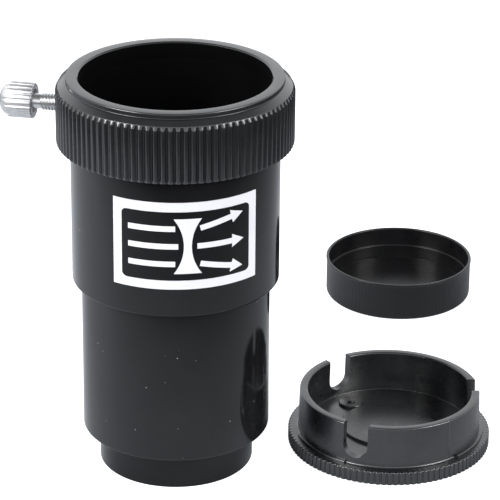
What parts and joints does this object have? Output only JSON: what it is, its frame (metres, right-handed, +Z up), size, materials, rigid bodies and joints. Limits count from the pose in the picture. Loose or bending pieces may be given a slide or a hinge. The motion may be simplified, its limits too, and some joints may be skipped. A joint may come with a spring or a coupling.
{
  "type": "barlow lens",
  "caption": "Short black tube that takes an eyepiece in its knurled collar, held by a side thumbscrew, with a hollow lens pair in its nose and two loose dust caps.",
  "frame": {"origin": "on the optical axis, at the end face of the nose, which the barlow stands on", "axes": "+Z up the optical axis to the eyepiece end; the label faces -Y; the clamp screw points to -X, turned 12 degrees towards +Y; the two caps lie on the +X side"},
  "size_m": [0.0861, 0.1003, 0.0694],
  "materials": {
    "collar_plastic": "satin moulded black plastic, knurled",
    "tube_plastic": "smooth semi-gloss black plastic",
    "barrel_plastic": "smooth semi-gloss black plastic",
    "cell_plastic": "smooth semi-gloss black plastic",
    "cushion_rubber": "matt black rubber",
    "crown_glass": "polished, coated",
    "flint_glass": "polished, coated",
    "spacer_metal": "thin plain metal",
    "ring_metal": "black anodised",
    "baffle_plastic": "matt black",
    "insert_brass": "turned brass",
    "stud_metal": "plated steel with a rolled thread",
    "knob_metal": "bright fluted metal",
    "label_white": "white film",
    "label_black": "black print",
    "label_mark": "white print",
    "plug_cap_plastic": "satin dark grey moulded plastic",
    "nose_cap_plastic": "satin dark grey moulded plastic"
  },
  "bodies": {
    "barlow": {"collar": "collar_plastic", "outer_tube": "tube_plastic", "nosepiece_barrel": "barrel_plastic", "lens_cell": "cell_plastic", "lens_cushion": "cushion_rubber", "concave_element": "crown_glass", "lens_spacer": "spacer_metal", "meniscus_element": "flint_glass", "retaining_ring": "ring_metal", "lower_baffle": "baffle_plastic", "upper_baffle": "baffle_plastic", "threaded_insert": "insert_brass", "label_film": "label_white", "label_panel": "label_black", "label_symbol": "label_mark"},
    "clamp_stud": {"thumbscrew_stud": "stud_metal"},
    "clamp_knob": {"thumbscrew_knob": "knob_metal"},
    "plug_cap": {"eyepiece_plug_cap": "plug_cap_plastic"},
    "small_cap": {"nose_cap": "nose_cap_plastic"}
  },
  "joints": [
    {"name": "screw_advance", "type": "slide", "parent": "barlow", "child": "clamp_stud", "axis": [0.9774, -0.2113, 0], "range_m": [-0.00175, 0.00375]},
    {"name": "screw_turn", "type": "hinge", "parent": "clamp_stud", "child": "clamp_knob", "pos_m": [-0.02326, 0.00503, 0.063], "axis": [0.9774, -0.2113, 0], "range_deg": [-1260, 2700]},
    {"name": "plug_cap_lift", "type": "slide", "parent": "barlow", "child": "plug_cap", "axis": [0, 0, 1], "range_m": [0, 0.05]},
    {"name": "nose_cap_lift", "type": "slide", "parent": "barlow", "child": "small_cap", "axis": [0, 0, 1], "range_m": [0, 0.05]}
  ],
  "couplings": [
    {"joint": "screw_turn", "follows": "screw_advance", "rad_per_m": 12566}
  ]
}
